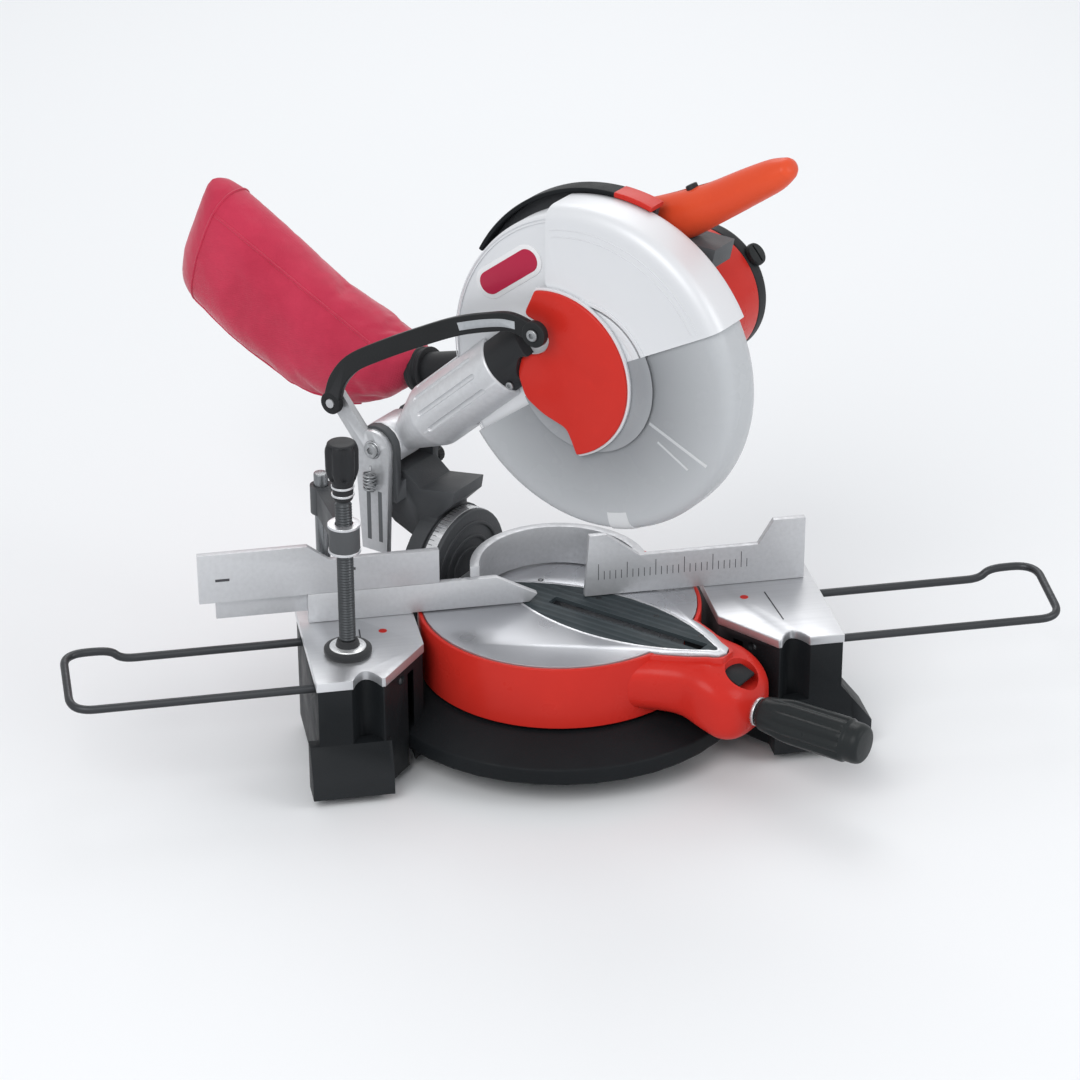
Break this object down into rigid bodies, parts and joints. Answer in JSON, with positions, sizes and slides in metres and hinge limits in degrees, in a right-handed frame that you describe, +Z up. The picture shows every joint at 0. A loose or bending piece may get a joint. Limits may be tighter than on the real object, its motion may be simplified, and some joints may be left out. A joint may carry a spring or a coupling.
{
  "type": "mitre saw",
  "caption": "Bench mitre saw with turntable, tilting chop head, guarded blade, motor, straight handle, dust bag, vise, sliding fence and wire work supports, set at a mitre of 45 degrees.",
  "frame": {"origin": "on the turntable's pivot axis, at the bench plane", "axes": "+Z up, +X to the right along the fence, +Y to the back; the fence face is the plane Y = 0"},
  "size_m": [0.8504, 0.5671, 0.5315],
  "materials": {
    "black_casting": "black powder coated casting",
    "black_plastic": "black moulded plastic",
    "cast_aluminium": "machined cast aluminium, fine grain",
    "dark_casting": "dark grey painted casting",
    "red_plastic": "red moulded plastic, satin",
    "orange_plastic": "orange red moulded plastic, satin",
    "steel": "bright steel",
    "dark_steel": "dark oxidised steel",
    "silver_paint": "silver white painted metal",
    "guard_plastic": "clear smoked plastic",
    "rubber": "black rubber",
    "bag_cloth": "crimson woven cloth"
  },
  "bodies": {
    "base": {"base_casting": "black_casting", "pivot_bolt": "steel", "left_table_plate": "cast_aluminium", "right_table_plate": "cast_aluminium", "left_front_foot": "rubber", "left_rear_foot": "rubber", "right_front_foot": "rubber", "right_rear_foot": "rubber", "left_support_screw": "black_plastic", "right_support_screw": "black_plastic", "fence_casting": "cast_aluminium", "vise_post": "steel"},
    "left_support": {"left_work_support": "dark_steel"},
    "right_support": {"right_work_support": "dark_steel"},
    "sub_fence": {"left_sub_fence": "cast_aluminium"},
    "vise_arm": {"vise_arm": "dark_casting"},
    "vise_pad": {"vise_pad": "rubber"},
    "vise_screw": {"vise_screw": "dark_steel", "vise_knob": "black_plastic"},
    "turntable": {"turntable": "cast_aluminium", "turntable_cover": "red_plastic", "kerf_board": "black_plastic", "grip_shaft": "steel", "rear_bracket": "dark_casting", "bevel_bolt": "steel"},
    "grip": {"turntable_grip": "black_plastic"},
    "detent_lever": {"detent_lever": "black_plastic"},
    "tilting_arm": {"tilting_arm": "dark_casting", "link_bracket": "cast_aluminium", "pivot_shaft": "steel", "return_spring": "steel"},
    "bevel_lever": {"bevel_lever": "black_plastic"},
    "head_lock_pin": {"head_lock_pin": "black_plastic"},
    "head": {"blade_case": "silver_paint", "front_hood": "silver_paint", "centre_cover": "red_plastic", "head_arm": "cast_aluminium", "arm_collar": "black_plastic", "gear_housing": "dark_casting", "spindle_bearing": "steel", "motor_housing": "red_plastic", "motor_end_cap": "dark_casting", "front_brush_cap": "black_plastic", "rear_brush_cap": "black_plastic", "cord_gland": "rubber", "left_handle_shell": "orange_plastic", "right_handle_shell": "orange_plastic", "dust_nozzle": "black_plastic", "dust_bag": "bag_cloth"},
    "trigger": {"trigger": "black_plastic"},
    "lock_off_button": {"lock_off_button": "black_plastic"},
    "shaft_lock": {"shaft_lock": "black_plastic"},
    "blade": {"blade": "steel", "outer_flange": "steel", "arbor_bolt": "steel", "spindle": "steel"},
    "armature": {"armature": "steel"},
    "lower_guard": {"lower_guard": "guard_plastic"},
    "guard_link": {"guard_link": "dark_steel"}
  },
  "joints": [
    {"name": "mitre_turn", "type": "hinge", "parent": "base", "child": "turntable", "pos_m": [0, 0, 0.112], "axis": [0, 0, 1], "range_deg": [-90, 0]},
    {"name": "bevel_tilt", "type": "hinge", "parent": "turntable", "child": "tilting_arm", "pos_m": [0, 0, 0.112], "axis": [0.7071, -0.7071, 0], "range_deg": [0, 25]},
    {"name": "chop", "type": "hinge", "parent": "tilting_arm", "child": "head", "pos_m": [-0.11667, 0.11667, 0.226], "axis": [-0.7071, -0.7071, 0], "range_deg": [-31, 0], "stiffness_Nm_per_rad": 30, "springref_deg": 85.94},
    {"name": "guard_swing", "type": "hinge", "parent": "head", "child": "lower_guard", "pos_m": [0.02828, -0.02828, 0.341], "axis": [-0.7071, -0.7071, 0], "range_deg": [0, 130.2]},
    {"name": "link_swing", "type": "hinge", "parent": "tilting_arm", "child": "guard_link", "pos_m": [-0.14213, 0.14213, 0.264], "axis": [-0.7071, -0.7071, 0], "range_deg": [-31, 0]},
    {"name": "blade_spin", "type": "hinge", "parent": "head", "child": "blade", "pos_m": [0.02828, -0.02828, 0.341], "axis": [-0.7071, -0.7071, 0], "continuous": true},
    {"name": "armature_spin", "type": "hinge", "parent": "head", "child": "armature", "pos_m": [0.10394, 0.02334, 0.367], "axis": [-0.7071, -0.7071, 0], "continuous": true},
    {"name": "trigger_squeeze", "type": "hinge", "parent": "head", "child": "trigger", "pos_m": [0.09829, -0.02051, 0.455], "axis": [-0.7071, -0.7071, 0], "range_deg": [0, 5], "stiffness_Nm_per_rad": 1},
    {"name": "lock_off_press", "type": "slide", "parent": "head", "child": "lock_off_button", "axis": [0.3536, -0.3536, -0.866], "range_m": [0, 0.003], "stiffness_N_per_m": 300},
    {"name": "shaft_lock_press", "type": "slide", "parent": "head", "child": "shaft_lock", "axis": [-0.7071, -0.7071, 0], "range_m": [0, 0.003], "stiffness_N_per_m": 300},
    {"name": "head_lock_slide", "type": "slide", "parent": "tilting_arm", "child": "head_lock_pin", "axis": [-0.7071, -0.7071, 0], "range_m": [0, 0.008]},
    {"name": "bevel_clamp", "type": "hinge", "parent": "tilting_arm", "child": "bevel_lever", "pos_m": [-0.09263, 0.09263, 0.112], "axis": [0.7071, -0.7071, 0], "range_deg": [-25, 20]},
    {"name": "grip_turn", "type": "hinge", "parent": "turntable", "child": "grip", "pos_m": [0.17678, -0.17678, 0.066], "axis": [0.7071, -0.7071, 0], "range_deg": [0, 180]},
    {"name": "detent_press", "type": "hinge", "parent": "turntable", "child": "detent_lever", "pos_m": [0.11667, -0.11667, 0.092], "axis": [-0.7071, -0.7071, 0], "range_deg": [-6, 0], "stiffness_Nm_per_rad": 1},
    {"name": "left_support_slide", "type": "slide", "parent": "base", "child": "left_support", "axis": [-1, 0, 0], "range_m": [-0.01, 0.04]},
    {"name": "right_support_slide", "type": "slide", "parent": "base", "child": "right_support", "axis": [1, 0, 0], "range_m": [-0.01, 0.04]},
    {"name": "sub_fence_slide", "type": "slide", "parent": "base", "child": "sub_fence", "axis": [-1, 0, 0], "range_m": [-0.045, 0]},
    {"name": "vise_swivel", "type": "hinge", "parent": "base", "child": "vise_arm", "pos_m": [-0.1985, 0.018, 0.22], "axis": [0, 0, -1], "range_deg": [-30, 45]},
    {"name": "vise_feed", "type": "slide", "parent": "vise_arm", "child": "vise_pad", "axis": [0, 0, 1], "range_m": [0, 0.016]},
    {"name": "vise_knob_turn", "type": "hinge", "parent": "vise_pad", "child": "vise_screw", "pos_m": [-0.19, -0.057, 0.2], "axis": [0, 0, 1], "range_deg": [0, 1440]}
  ],
  "couplings": [
    {"joint": "guard_swing", "follows": "chop", "ratio": -4.2},
    {"joint": "link_swing", "follows": "chop", "ratio": 1},
    {"joint": "armature_spin", "follows": "blade_spin", "ratio": -3},
    {"joint": "vise_knob_turn", "follows": "vise_feed", "rad_per_m": 1570.8}
  ]
}
